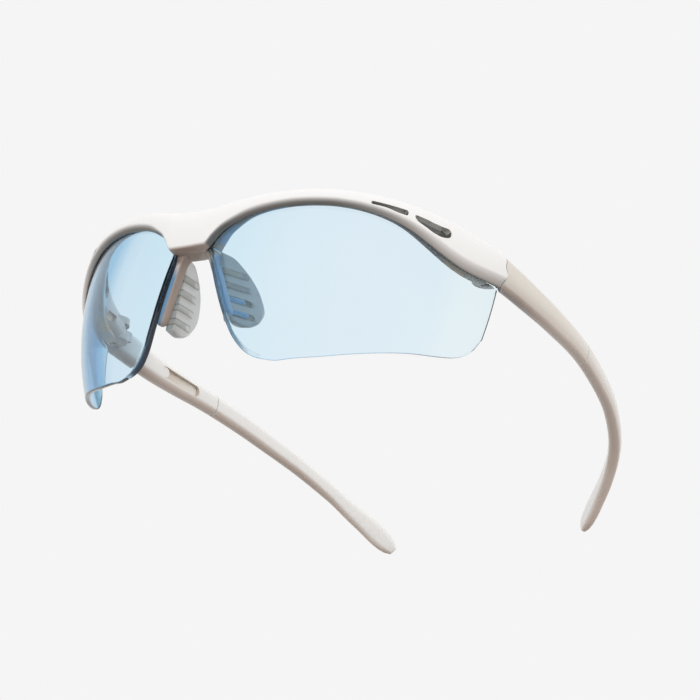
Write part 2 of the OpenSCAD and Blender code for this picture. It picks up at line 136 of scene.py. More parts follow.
def plastic(name, colour, rough=0.22, bump=0.01):
    """Moulded plastic with a faint mottle and a fine grain."""
    mat, nt, b = new_mat(name)
    b.inputs["Roughness"].default_value = rough
    b.inputs["IOR"].default_value = 1.5
    co = nt.nodes.new("ShaderNodeTexCoord")
    mottle = node(nt, "ShaderNodeTexNoise", Scale=40.0, Detail=3.0)
    nt.links.new(co.outputs["Object"], mottle.inputs["Vector"])
    base = ramp(nt, mottle.outputs["Fac"], (0.3, [c * 0.985 for c in colour]), (0.7, colour))
    # The mesh's tone lays painted light and shade over the colour
    toned = multiplied(nt, base)
    nt.links.new(mesh_tone(nt), toned.inputs[MIX_B])
    nt.links.new(toned.outputs[MIX_OUT], b.inputs["Base Color"])
    grain = node(nt, "ShaderNodeTexNoise", Scale=900.0, Detail=2.0)
    nt.links.new(co.outputs["Object"], grain.inputs["Vector"])
    relief = node(nt, "ShaderNodeBump", Strength=bump, Distance=0.00002)
    nt.links.new(grain.outputs["Fac"], relief.inputs["Height"])
    nt.links.new(relief.outputs["Normal"], b.inputs["Normal"])
    return mat


white = plastic("white_moulded", (0.90, 0.89, 0.875))
arm_mat = plastic("white_moulded_arm", (0.90, 0.885, 0.86), bump=0.003)
black = plastic("blackened_steel", (0.02, 0.02, 0.022), rough=0.35)
black.node_tree.nodes["Principled BSDF"].inputs["Metallic"].default_value = 0.8


# Light that grazes the lens takes a longer way through the tint. DEEP is the tint's factor
# for that way, and GRAZE its share by how far the view is from square on.
DEEP = (0.05, 0.28, 0.56, 1)
GRAZE = ((0.12, 0), (0.35, 0.09), (0.5, 0.15), (0.57, 0.3), (0.66, 0.85), (0.74, 1))


def lens_glass():
    mat, nt, clear = new_mat("blue_lens")
    deep = nt.nodes.new("ShaderNodeBsdfPrincipled")
    for glass in (clear, deep):
        glass.inputs["Roughness"].default_value = 0.0
        glass.inputs["IOR"].default_value = 1.5
        glass.inputs["Transmission Weight"].default_value = 1.0
    tone = mesh_tone(nt)
    nt.links.new(tone, clear.inputs["Base Color"])
    nt.links.new(multiplied(nt, tone, DEEP).outputs[MIX_OUT], deep.inputs["Base Color"])
    facing = node(nt, "ShaderNodeLayerWeight", Blend=0.5)
    share = ramp(nt, facing.outputs["Facing"], *[(at, (k, k, k)) for at, k in GRAZE])
    glass = mixed(nt, share, clear.outputs[0], deep.outputs[0])
    nt.links.new(glass, nt.nodes["Material Output"].inputs["Surface"])
    return mat


def elastomer():
    mat, nt, b = new_mat("clear_elastomer")
    b.inputs["Roughness"].default_value = 0.18
    b.inputs["IOR"].default_value = 1.38
    b.inputs["Transmission Weight"].default_value = 0.42
    nt.links.new(mesh_tone(nt), b.inputs["Base Color"])
    return mat


lens_mat, pad_mat = lens_glass(), elastomer()

# ---------------------------------------------------------------- sizes and shape rows, in mm
# Radii of the lens front seen from above and from the side, height of the front, backward
# lean in degrees, and the thickness of the part's lens, behind which the hinge lug begins
LENS_R, BULGE_R, FRONT_H, LEAN, LENS_T = 69.7, 90.0, 52.7, 11.2, 2.6
# Angles round the wrap at which a lens begins and ends, and at which the hinge stands
LENS_FROM, LENS_TO, HINGE_A = 4.5, 78.0, 75.9
# Height at which the lens is fullest, and place of the wrap's axis there
BULGE_Z, WRAP_Y = FRONT_H * 0.73, LENS_R - 12.7
LEAN_SLOPE = math.tan(math.radians(LEAN))
# Distance of the hinge's axis behind the lens front, and its place
HINGE_IN = 3.5
HINGE_X = (LENS_R - HINGE_IN) * math.sin(math.radians(HINGE_A))
HINGE_Y = WRAP_Y - (LENS_R - HINGE_IN) * math.cos(math.radians(HINGE_A))
# Length of a sleeve and of a whole temple, from the hinge
SLEEVE_LEN, TEMPLE_LEN = 56.5, 118.2
SLEEVE_END, TIP_Y = HINGE_Y + SLEEVE_LEN, HINGE_Y + TEMPLE_LEN

# Each row holds pairs with a smooth curve through them. Edges of the brow, the lens and the
# vents: angle round the wrap, and height in percent of the height of the front
BROW_LOW = [(0, 63.3), (4.6, 63.6), (6, 68.5), (8, 74.3), (10, 77.6), (13, 81.7), (16, 84.4),
            (20, 86.8), (24, 88.4), (28, 89.2), (32, 89.5), (37, 88.8), (42, 87), (46, 84.7),
            (50, 81.4), (52, 79.3), (56, 74.5), (60, 69.9), (63, 67), (66, 64.8), (70, 63.2),
            (77, 62.4), (81, 62.4)]
BROW_TOP = [(0, 89.8), (4, 90.5), (8, 92.1), (13, 94.8), (20, 97.9), (28, 99.7), (33, 100),
            (40, 99.3), (46, 97.9), (52, 96), (60, 92.9), (66, 89.4), (72, 86.4), (79, 84),
            (81, 83.4)]
LENS_LOW = [(4.3, 66), (8, 39.9), (10.6, 24.8), (13.3, 13.6), (16.5, 6.6), (20.5, 2.9),
            (24.5, 1.6), (29, 2.9), (36, 4.8), (47, 9.1), (59, 13.6), (66, 15.5), (70.5, 17.2),
            (74, 19.9), (76.4, 24.6), (78, 31.9)]
VENT_1_LOW = [(41, 91.3), (44.2, 90.4), (47.4, 88.3), (49.9, 87.2)]
VENT_1_HIGH = [(41, 93.4), (45.2, 92.2), (49.9, 90.6)]
VENT_2_LOW = [(51.6, 86.8), (52.6, 84.9), (54.8, 82.3), (56.9, 79.9), (58.9, 78.8), (61, 79.3)]
# Height of the outer vent: sevenths of its length, and share of its full height
VENT_2_TALL = [(0, 0.36), (1, 0.55), (2, 0.68), (3, 0.78), (4, 0.87), (5, 0.92), (6, 0.88),
               (7, 0.72)]
VENT_H = 3.7
# Share of the bridge in the brow's section, and what the brow's depth and lip gain towards
# the hinge, by angle
BRIDGE_SHARE = [(0, 1), (5, 0.92), (9, 0.45), (14, 0.08), (18, 0)]
END_DEPTH = [(0, 0), (46, 0), (58, 0.7), (66, 1.3), (72, 1.8), (81, 2)]
END_LIP = [(0, 0), (60, 0), (72, 0.2), (81, 0.4)]
# Height of the slope along the lip's lower edge, which turns in to the lens
LIP_SLOPE = [(0, 0.5), (6, 0.7), (14, 1.3), (44, 1.3), (60, 2.2), (81, 2.4)]
# How far the hinge lug reaches behind the lens front, and how far its underside rises
LUG_DEPTH = [(61, 4.6), (64, 6.0), (68, 7.0), (77, 7.6)]
LUG_RISE = [(61, 3.2), (63, 2.4), (65, 1.7), (68, 1.2), (71, 0.7), (74, 0.2), (77, 0)]
# How far the lens's upper outer corner is rounded off
CORNER_DIP = [(72.5, 0), (74.5, 0.9), (76.5, 1.1), (78, 2)]
# The temple by percent of its length: distance out from the hinge's axis in percent of the
# length, height in percent of the front's, and shares of its height and thickness
SIDE = [(-3, 3.0), (7.5, 3.1), (21, 3.0), (34, 2.2), (46.5, 0.8), (59, -1.3), (70, -3.6),
        (78.7, -6.4), (84.7, -9), (89.3, -12), (93, -15.6), (96.5, -20.2), (100, -25.6)]
DROP = [(-3, 72.6), (7.5, 70.8), (14.5, 69.3), (21, 67.9), (27.5, 66.7), (34.5, 65.5),
        (41, 64.5), (46.5, 63.3), (59, 58.8), (70, 53.1), (78.7, 46.7), (84.7, 40.4),
        (89.3, 33.4), (93, 24.9), (96.5, 15), (100, 1.9)]
HEIGHT = [(-3, 1.35), (7.5, 1.24), (14.5, 1.17), (21, 1.09), (27.5, 1.03), (34.5, 0.96),
          (41, 0.9), (47, 0.86), (66.5, 0.78), (84.5, 0.66), (90, 0.64), (94.5, 0.76),
          (97.5, 0.84), (100, 0.6)]
THICK = [(-3, 1.0), (15, 1.0), (47, 0.88), (71, 0.78), (92, 0.74), (97, 0.68), (100, 0.5)]


def along(p, x):
    """Smooth value of a row of pairs at x."""
    if x <= p[0][0]:
        return p[0][1]
    if x >= p[-1][0]:
        return p[-1][1]
    i = max(k for k in range(len(p) - 1) if p[k][0] <= x)

    def slope(k):
        if k == 0:
            return (p[1][1] - p[0][1]) / (p[1][0] - p[0][0])
        if k == len(p) - 1:
            return (p[k][1] - p[k - 1][1]) / (p[k][0] - p[k - 1][0])
        a = (p[k][1] - p[k - 1][1]) / (p[k][0] - p[k - 1][0])
        b = (p[k + 1][1] - p[k][1]) / (p[k + 1][0] - p[k][0])
        return 0 if a * b <= 0 else 2 * a * b / (a + b)

    w = p[i + 1][0] - p[i][0]
    t = (x - p[i][0]) / w
    return ((2 * t ** 3 - 3 * t ** 2 + 1) * p[i][1] + (t ** 3 - 2 * t ** 2 + t) * w * slope(i)
            + (3 * t ** 2 - 2 * t ** 3) * p[i + 1][1] + (t ** 3 - t ** 2) * w * slope(i + 1))


def rise(p, x):
    """Value of a row of heights at x."""
    return along(p, x) * FRONT_H / 100


def wrap_r(z, off):
    """Radius of the wrapped surface at height z, moved outwards by off."""
    return LENS_R + off - BULGE_R + math.sqrt(BULGE_R ** 2 - (z - BULGE_Z) ** 2)


def wrap(a, z, off=0.0):
    """Point on the wrapped surface at angle a."""
    r = wrap_r(z, off)
    t = math.radians(a)
    return Vector((r * math.sin(t), WRAP_Y + (z - BULGE_Z) * LEAN_SLOPE - r * math.cos(t), z))


def unwrap(p):
    """Angle round the wrap, and distance out from the lens front."""
    back = WRAP_Y + (p.z - BULGE_Z) * LEAN_SLOPE - p.y
    return math.degrees(math.atan2(p.x, back)), math.hypot(p.x, back) - wrap_r(p.z, 0)


def spread(a, b, n):
    return [a + (b - a) * i / n for i in range(n + 1)]


def polar(r, a):
    """Point at distance r in the direction of a degrees."""
    t = math.radians(a)
    return r * math.cos(t), r * math.sin(t)


def smooth(x):
    """0 below 0, 1 above 1, and a soft step in between."""
    x = min(1.0, max(0.0, x))
    return x * x * (3 - 2 * x)


def rounding(x):
    """Quarter of a circle, from 0 at x = 0 to 1 at x = 1."""
    return math.sqrt(max(0.0, 1 - (1 - min(1.0, x)) ** 2))


# ---------------------------------------------------------------- mesh helpers, in mm
def make(name, verts, faces):
    me = bpy.data.meshes.new(name)
    me.from_pydata([tuple(v) for v in verts], [], faces)
    me.validate()
    bm = bmesh.new()
    bm.from_mesh(me)
    bmesh.ops.remove_doubles(bm, verts=bm.verts, dist=1e-4)
    bmesh.ops.dissolve_degenerate(bm, dist=1e-5, edges=bm.edges)
    bmesh.ops.recalc_face_normals(bm, faces=bm.faces)
    bm.to_mesh(me)
    bm.free()
    return linked(name, me)


def loft(name, rings):
    """Closed solid through rings of points."""
    n, m = len(rings[0]), len(rings)
    verts = [v for r in rings for v in r]
    faces = []
    for i in range(m - 1):
        for j in range(n):
            a, b = i * n + j, i * n + (j + 1) % n
            faces.append((a, a + n, b + n, b))
    faces.append(tuple(range(n)))
    faces.append(tuple(range((m - 1) * n + n - 1, (m - 1) * n - 1, -1)))
    return make(name, verts, faces)


def ring_section(points, seg=4):
    """Closed outline with rounded corners, through (x, y, radius, pieces of the next edge)."""
    n = len(points)
    corners = []
    for i in range(n):
        a, b, c = (Vector(points[k % n][:2]) for k in (i - 1, i, i + 1))
        r = points[i][2]
        u, v = a - b, c - b
        if r <= 0 or u.length < 1e-5 or v.length < 1e-5:
            corners.append([b] if r <= 0 else [b] * (seg + 1))
            continue
        t = min(r, 0.46 * u.length, 0.46 * v.length)
        p, q = b + u.normalized() * t, b + v.normalized() * t
        corners.append([(1 - s) ** 2 * p + 2 * s * (1 - s) * b + s * s * q
                        for s in [k / seg for k in range(seg + 1)]])
    out = []
    for i in range(n):
        out += corners[i]
        k = points[i][3]
        p, q = corners[i][-1], corners[(i + 1) % n][0]
        out += [p.lerp(q, j / k) for j in range(1, k)]
    return out


def wrapped(a, points):
    """Ring at angle a round the wrap; x of the points is distance out, y is height."""
    return [wrap(a, q[1], q[0]) for q in ring_section(points)]


def prism(name, outline, levels):
    """Upright solid with an outline of (x, y), between two heights."""
    return loft(name, [[Vector((x, y, z)) for x, y in outline] for z in levels])


def box(name, lo, hi):
    outline = [(lo[0], lo[1]), (hi[0], lo[1]), (hi[0], hi[1]), (lo[0], hi[1])]
    return prism(name, outline, (lo[2], hi[2]))


def rod(name, r, z0, z1, x, y, n=48, chamfer=0.0):
    """Round bar along Z, whose lower edge can be rounded."""
    prof = [(r - chamfer, z0), (r, z1)]
    if chamfer:
        prof[1:1] = [(r - chamfer * (1 - math.sin(t)), z0 + chamfer * (1 - math.cos(t)))
                     for t in [math.pi / 2 * k / 5 for k in range(1, 6)]]
    turns = [2 * math.pi * k / n for k in range(n)]
    return loft(name, [[Vector((x + q * math.cos(t), y + q * math.sin(t), z)) for t in turns]
                       for q, z in prof])


def hinge_rod(name, r, z0, z1, **more):
    """Round bar about the hinge's axis."""
    return rod(name, r, z0, z1, HINGE_X, HINGE_Y, **more)


def moved(obj, mat):
    obj.data.transform(mat)
    return obj


def mirrored(obj, name):
    me = obj.data.copy()
    me.transform(Matrix.Scale(-1, 4, (1, 0, 0)))
    me.flip_normals()
    return linked(name, me)


def whole(obj, name):
    """Drops the faces in the middle plane and adds the mirrored half."""
    bm = bmesh.new()
    bm.from_mesh(obj.data)
    flat = [f for f in bm.faces if all(abs(v.co.x) < 1e-3 for v in f.verts)]
    bmesh.ops.delete(bm, geom=flat, context="FACES")
    geom = bm.verts[:] + bm.edges[:] + bm.faces[:]
    new = bmesh.ops.duplicate(bm, geom=geom)["geom"]
    bmesh.ops.scale(bm, vec=(-1, 1, 1), verts=[g for g in new if isinstance(g, bmesh.types.BMVert)])
    bmesh.ops.reverse_faces(bm, faces=[g for g in new if isinstance(g, bmesh.types.BMFace)])
    middle = [v for v in bm.verts if abs(v.co.x) < 1e-3]
    bmesh.ops.remove_doubles(bm, verts=middle, dist=2e-3)
    bm.to_mesh(obj.data)
    bm.free()
    obj.name = name
    return obj


def combine(obj, others, operation):
    """Adds or cuts the others one by one, and removes them."""
    for other in others:
        mod = obj.modifiers.new("b", "BOOLEAN")
        mod.operation = operation
        mod.solver = "EXACT"
        mod.object = other
        dg = bpy.context.evaluated_depsgraph_get()
        me = bpy.data.meshes.new_from_object(obj.evaluated_get(dg), depsgraph=dg)
        obj.modifiers.clear()
        obj.data = me
        bpy.data.objects.remove(other)


def cut(obj, *others):
    combine(obj, others, "DIFFERENCE")


def join(obj, *others):
    combine(obj, others, "UNION")


# ---------------------------------------------------------------- tones and hand-over
WHITE = [1.0, 1.0, 1.0]


def blend(a, b, t):
    """Colour that is a at t = 0 and b at t = 1."""
    return [p + (q - p) * t for p, q in zip(a, b)]


def shaded(colour, factor):
    return [c * f for c, f in zip(colour, factor)]


def plain(p, n):
    return WHITE


def done(obj, body, cad_node, mat, angle=32, tone=plain):
    """Gives the mesh its tone, turns mm into the frame's metres and hands it to its body."""
    me = obj.data
    me.materials.clear()
    me.materials.append(mat)
    me.shade_smooth()
    me.set_sharp_from_angle(angle=math.radians(angle))
    layer = me.color_attributes.new("tone", "FLOAT_COLOR", "CORNER")
    # A tone is written for the picture's right side, and is the same on the left
    for loop, normal, out in zip(me.loops, me.corner_normals, layer.data):
        p, n = me.vertices[loop.vertex_index].co, normal.vector
        side = math.copysign(1, p.x)
        out.color = (*tone(Vector((abs(p.x), p.y, p.z)), Vector((side * n.x, n.y, n.z))), 1)
    me.transform(Matrix.Scale(MM, 4) @ Matrix.Translation((0, -MID, 0)))
    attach(obj, body)
    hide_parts(cad_node)


def both_sides(obj, name, body, cad, mat, angle=32, tone=plain, left_tone=None):
    """The piece on the picture's right, and its mirror image on the left."""
    other = mirrored(obj, name + "_left")
    obj.name = name + "_right"
    for piece, side, its_tone in ((obj, "right", tone), (other, "left", left_tone or tone)):
        on = body if body == "front" else body + "_" + side
        done(piece, on, cad + "_" + side, mat, angle=angle, tone=its_tone)


def out_share(n, a):
    """How squarely a normal at angle a faces straight out from the wrap or into it."""
    return abs(n.x * math.sin(math.radians(a)) - n.y * math.cos(math.radians(a)))


# ---------------------------------------------------------------- the front moulding
BRIDGE_Z = rise(BROW_LOW, 0)
# Play of the lens in its groove, height of the groove, and how far its rear wall stops short
GAP, GROOVE, REAR_RISE = 0.1, 1.4, 0.8
# Thickness of the lens's sheet, and how far the groove's front edge is bevelled
SHEET, BEVEL = 1.3, 0.4
# Angle at which the brow ends
BROW_TO = 80
# The hinge boss: height of its underside, of the slot between its ears, and of its top
BOSS_LOW = rise(BROW_LOW, HINGE_A) + 1.3
SLOT_LOW, SLOT_HIGH, BOSS_HIGH = BOSS_LOW + 2.0, BOSS_LOW + 5.4, BOSS_LOW + 7.4
BOSS_R, KNUCKLE_R, KNUCKLE_ROOM_R, BOSS_ROOM_R = 4.4, 3.4, 3.7, 4.7
# The screw: radius of its shaft, of the bore in the boss and of the hole in the knuckle, and
# radius and height of its head and of the bore for it
SHAFT_R, BORE_R, PIN_HOLE_R = 0.9, 0.92, 0.95
HEAD_R, HEAD_BORE_R, HEAD_H, HEAD_BORE_H = 1.5, 1.6, 0.9, 1.1
# Angles between which the lug lies, and those of the pocket in its rear
LUG_FROM, POCKET_FROM, POCKET_TO = 61, 63, 67.5
# A nose arm: its length, half of its thickness and half of its width
ARM_LEN, ARM_HALF_T, ARM_HALF_W = 18.8, 1.15, 1.7
NOSE_ARM_Z = BRIDGE_Z - ARM_LEN
# A finger's width, thickness and length beyond the arm, its play in the pad's slot, the
# slot's length, and how many there are
FINGER_W, FINGER_T, FINGER_LEN, FINGER_PLAY, SLOT_LEN, FINGERS = 1.5, 1.0, 7.0, 0.2, 10.0, 4


def lip(a):
    return 2.0 + along(BRIDGE_SHARE, a) + along(END_LIP, a)


def depth(a):
    return 3.6 + 3.4 * along(BRIDGE_SHARE, a) + along(END_DEPTH, a)


def groove_top(a):
    return rise(BROW_LOW, a) + GROOVE


def brow_ring(a):
    """Section of the brow: a rounded bar with the lens groove in its underside."""
    lo, hi, f, b, g = rise(BROW_LOW, a), rise(BROW_TOP, a), lip(a), depth(a), groove_top(a)
    h, inner, c = hi - lo, SHEET + GAP, along(LIP_SLOPE, a)
    r = lo + REAR_RISE * (1 - along(BRIDGE_SHARE, a))
    return wrapped(a, [
        (GAP + BEVEL, lo, 0.2, 2), (GAP, lo, 0.05, 2), (GAP, g, 0, 2), (-inner, g, 0, 2),
        (-inner, r, 0.12, 2), (-b, r, 0.6, 3), (-b, hi - 0.35 * h, 3, 2),
        (0.9 - b, hi - 0.12 * h, 3, 2), (0.3 * (f - b), hi, 3, 2), (0.5 * f, hi - 0.06 * h, 3, 2),
        (f - 0.35, hi - 0.24 * h, 3, 2), (f, hi - 0.48 * h, 3, 2), (f, lo + c + 0.6, 1.2, 2),
        (f - 0.35, lo + c, 0.5, 4)])


# The seam between front and temple, seen from the side: mm above the boss's underside, and
# distance behind the hinge in percent of the height of the front
SEAM_ROW = [(-4, 2.1), (0.1, 1.0), (2.3, 2.4), (4.8, 1.1), (6.9, 2.2), (12, 2.6)]


def behind_seam(gap):
    """All that lies behind the seam, for cutting."""
    rows = [(HINGE_Y + rise(SEAM_ROW, z) + gap, BOSS_LOW + z) for z in spread(-4, 12, 60)]
    rows += [(HINGE_Y + 20, BOSS_LOW + 12), (HINGE_Y + 20, BOSS_LOW - 4)]
    return loft("seam", [[Vector((x, y, z)) for y, z in rows]
                         for x in (HINGE_X - 8, HINGE_X + 12)])


def vent(angles, low, high):
    """A slot through the brow, with points 1 mm behind the lens front, where its painted shade
    changes.
    """
    return loft("vent", [wrapped(a, [(6, lo, 0, 1), (-9, lo, 0, 1), (-9, hi, 0, 1),
                                     (-1.05, hi, 0, 1), (-0.95, hi, 0, 1), (6, hi, 0, 1)])
                         for a, lo, hi in zip(angles, low, high)])


def rounded_span(angles, low, high, ends=0.55):
    """Pulls a slot's edges together at both of its ends, so that the ends are round."""
    lo2, hi2 = [], []
    for a, lo, hi in zip(angles, low, high):
        near = min(a - angles[0], angles[-1] - a) / ends
        mid, half = (lo + hi) / 2, (hi - lo) / 2 * (0.3 + 0.7 * rounding(near))
        lo2.append(mid - half)
        hi2.append(mid + half)
    return lo2, hi2


def fine_span(row, n=36, edge=0.6):
    """The angles of a vent, close together at its ends."""
    a, b = row[0][0], row[-1][0]
    inner = spread(a + edge, b - edge, n)
    return spread(a, a + edge, 5)[:-1] + inner + spread(b - edge, b, 5)[1:]


def vents():
    one, two = fine_span(VENT_1_LOW), fine_span(VENT_2_LOW)
    low_1, high_1 = [rise(VENT_1_LOW, a) for a in one], [rise(VENT_1_HIGH, a) for a in one]
    span = VENT_2_LOW[-1][0] - VENT_2_LOW[0][0]
    low_2 = [rise(VENT_2_LOW, a) for a in two]
    high_2 = [z + VENT_H * along(VENT_2_TALL, 7 * (a - two[0]) / span)
              for z, a in zip(low_2, two)]
    return (vent(one, *rounded_span(one, low_1, high_1)),
            vent(two, *rounded_span(two, low_2, high_2, 0.9)))


def knuckle_room():
    """The slot between the boss's ears, open on the side to which the temple folds."""
    fan = [(0, 0)] + [polar(9, a) for a in range(12, 193, 6)]
    wedge = prism("wedge", [(HINGE_X + x, HINGE_Y + y) for x, y in fan], (SLOT_LOW, SLOT_HIGH))
    return wedge, hinge_rod("hub", KNUCKLE_ROOM_R, SLOT_LOW, SLOT_HIGH)


def lug():
    rings = []
    front, hi = -LENS_T - 0.2, SLOT_HIGH
    for a in spread(LUG_FROM, HINGE_A, 30):
        d, lo = along(LUG_DEPTH, a), BOSS_LOW + along(LUG_RISE, a)
        rings.append(wrapped(a, [(front, lo, 0.4, 3), (1.4 - d, lo, 1.2, 1), (-d, lo + 1.6, 1.2, 3),
                                 (-d, hi, 0.4, 3), (front, hi, 0, 3)]))
    return loft("lug", rings)


def lug_pocket():
    rings = []
    lo, hi = SLOT_LOW + 0.3, SLOT_LOW + 2.6
    for a in spread(POCKET_FROM, POCKET_TO, 8):
        floor_at = 1 - along(LUG_DEPTH, a)
        rings.append(wrapped(a, [(floor_at, lo, 0.3, 1), (-12, lo, 0, 1), (-12, hi, 0, 1),
                                 (floor_at, hi, 0.3, 1)]))
    return loft("pocket", rings)


def lens_room():
    """What the lens takes up at the lug, up to the top of its groove."""
    top = groove_top(72)
    outline = [wrap(a, top, 9).xy for a in spread(60, 90, 20)]
    outline += [wrap(a, top, -LENS_T - 0.2).xy for a in spread(90, 60, 40)]
    return prism("room", outline, (top - 5, top))


def arm_mid(z):
    """Middle of a nose arm at height z."""
    return Vector((5 + (BRIDGE_Z - z) * 0.335, -9.5 + (BRIDGE_Z - z) * 0.045, z))


def rounded_bar(w, h, r, n=5):
    """Closed outline of a rounded rectangle round the origin."""
    out = []
    for cx, cy, start in ((w - r, h - r, 0), (r - w, h - r, 90), (r - w, r - h, 180),
                          (w - r, r - h, 270)):
        turns = [polar(r, start + 90 * k / n) for k in range(n + 1)]
        out += [(cx + x, cy + y) for x, y in turns]
    return out


# Height above a nose arm's end, and shares of its width and of its thickness
NOSE_ARM_ROWS = [(0, 0.45, 0.3), (0.15, 0.62, 0.55), (0.5, 0.8, 0.82), (1.0, 0.93, 0.96),
                 (1.8, 1, 1), (4, 1, 1), (8, 1, 1), (13, 1, 1), (16.4, 1.02, 1.03),
                 (17.6, 1.1, 1.15), (18.4, 1.22, 1.4), (19, 1.36, 1.75), (19.6, 1.36, 1.75)]


def nose_arm():
    rings = []
    for up, w, t in NOSE_ARM_ROWS:
        c = arm_mid(NOSE_ARM_Z + up)
        section = rounded_bar(ARM_HALF_T * t, ARM_HALF_W * w, 0.6 * min(t, 1))
        rings.append([c + Vector((x, y, 0)) for x, y in section])
    return loft("nose_arm", rings)


# How the fingers are turned, in degrees about the upright and the sideways axis
FINGER_TURN, FINGER_TILT = -11, 6


def finger_root(i):
    """Where finger i leaves the middle of its arm, counted from below."""
    return arm_mid(NOSE_ARM_Z + ARM_LEN * (0.085 + 0.217 * i)) - Vector((0.3, 0, 0))


def turned(angle, axis):
    return Matrix.Rotation(math.radians(angle), 4, axis)


def finger(i, w, t, long, r=0.25):
    """Flat bar with a round tip, from the arm's middle backwards."""
    mat = Matrix.Translation(finger_root(i)) @ turned(FINGER_TURN, "Z") @ turned(FINGER_TILT, "X")
    start = long - w / 2
    outline = [(0, -w / 2)]
    outline += [(start + w / 2 * math.sin(math.radians(a)), -w / 2 * math.cos(math.radians(a)))
                for a in range(0, 181, 15)]
    outline.append((0, w / 2))
    rings = []
    for x, inset in ((-t / 2, r), (-t / 2 + r * 0.3, r * 0.3), (-t / 2 + r, 0), (t / 2 - r, 0),
                     (t / 2 - r * 0.3, r * 0.3), (t / 2, r)):
        k = 1 - 2 * inset / w
        rings.append([mat @ Vector((x, (y - start) * k + start if y > start else y, z * k))
                      for y, z in outline])
    return loft("finger", rings)


def screw_bore():
    return (hinge_rod("bore", HEAD_BORE_R, BOSS_LOW - 4, BOSS_LOW + HEAD_BORE_H),
            hinge_rod("bore", BORE_R, BOSS_LOW, BOSS_HIGH - 0.4))


def front_moulding():
    """The picture's right half of the front."""
    angles = spread(0, 14, 24)[:-1] + spread(14, BROW_TO, 80)
    half = loft("front", [brow_ring(a) for a in angles])
    cut(half, behind_seam(0), *vents(), *knuckle_room())
    core_section = ((0.4, 0.03), (-LENS_T - 0.4, 0.06), (-LENS_T - 0.4, 1.7), (0.4, 1.7))
    core = loft("core", [[wrap(a, rise(BROW_LOW, a) + up, out) for out, up in core_section]
                         for a in spread(0, 4.25, 4)])
    end = lug()
    join(end, hinge_rod("boss", BOSS_R, BOSS_LOW, BOSS_HIGH, n=72, chamfer=0.8))
    cut(end, *knuckle_room(), lug_pocket(), lens_room())
    arm_piece = nose_arm()
    join(arm_piece, *[finger(i, FINGER_W, FINGER_T, ARM_HALF_W + FINGER_LEN)
                      for i in range(FINGERS)])
    join(half, core, end, arm_piece)
    cut(half, *screw_bore())
    return half


# Painted shade: near black in the lens groove and at the lip's lower edge, olive deep in the vents,
# brown under the bridge and on the nose arms' inner sides
DARK_SHADE, VENT_SHADE, BROWN_SHADE = [0.10, 0.09, 0.078], [0.085, 0.078, 0.058], [0.53, 0.43, 0.37]
# Painted shade on the vents' ceiling near the front, and on the lip's slope towards the hinge
VENT_CEILING_SHADE, LIP_TAN_SHADE = [0.74, 0.73, 0.69], [0.62, 0.57, 0.54]
# Painted light: what light that has passed the lens leaves of white
THROUGH_LENS_LIGHT = [0.22, 0.50, 0.82]
# Painted shade on the hinge lug behind the lens
POCKET_SHADE, LUG_TAN_SHADE = [0.60, 0.42, 0.27], [0.62, 0.42, 0.22]
LUG_SIDE_SHADE, LUG_UNDER_SHADE = [0.56, 0.57, 0.58], [0.36, 0.34, 0.32]
# Painted shade under the groove's rear wall, and on the rear face towards the hinge
GROOVE_BACK_SHADE, REAR_SHADE = [0.22, 0.20, 0.18], [0.70, 0.71, 0.73]
# How dark the painted shade on the lip's lower edge is, by angle
LIP_EDGE_SHADE = [(0, 0.9), (30, 0.96), (42, 0.8), (52, 0.42), (62, 0.22), (81, 0.16)]


def in_vent(a, z):
    for low, top in ((VENT_1_LOW, rise(VENT_1_HIGH, a) + 0.2),
                     (VENT_2_LOW, rise(VENT_2_LOW, a) + 4.2)):
        if low[0][0] - 0.1 < a < low[-1][0] + 0.1 and rise(low, a) - 0.2 < z < top:
            return True
    return False


def nose_arm_tone(n):
    """Painted light on the arm's front and outer sides, which see light that has passed the lens,
    and painted shade on its inner side.
    """
    side = blend(THROUGH_LENS_LIGHT, BROWN_SHADE, smooth(0.5 - n.x * 1.4 + n.y * 0.3))
    return blend(side, WHITE, smooth((n.y - 0.2) / 0.6))


# Painted shade on the hinge lug: tan in and under its pocket, grey on its sides, darker below
def lug_tone(p, n, a, off):
    before_rear = off + along(LUG_DEPTH, a)
    if 62.8 < a < 67.7 and SLOT_LOW + 0.2 < p.z < SLOT_LOW + 2.7 and before_rear > 0.9:
        return POCKET_SHADE
    if 62 < a < 68.5 and before_rear > 1.6 and p.z < rise(BROW_LOW, a) + 3 and n.y < 0.3:
        return LUG_TAN_SHADE
    return blend(LUG_SIDE_SHADE, LUG_UNDER_SHADE, smooth(-n.z))


def lip_tone(p, n, a):
    """The lip's front: white above, with painted shade on the slope of its lower edge."""
    lo, c = rise(BROW_LOW, a), along(LIP_SLOPE, a)
    t = smooth((lo + c + 0.9 - p.z) / (c + 0.5)) * smooth((0.75 - n.z) / 0.8)
    if a < 5:
        return blend(WHITE, BROWN_SHADE, t)
    edge = smooth((lo + 0.35 - p.z) / 0.3)
    # Painted shade on the slope, tan towards the hinge, and near black along the edge
    slope = blend(WHITE, LIP_TAN_SHADE, t * smooth((a - 35) / 20))
    return blend(slope, DARK_SHADE, max(along(LIP_EDGE_SHADE, a) * t, 0.8 * edge))


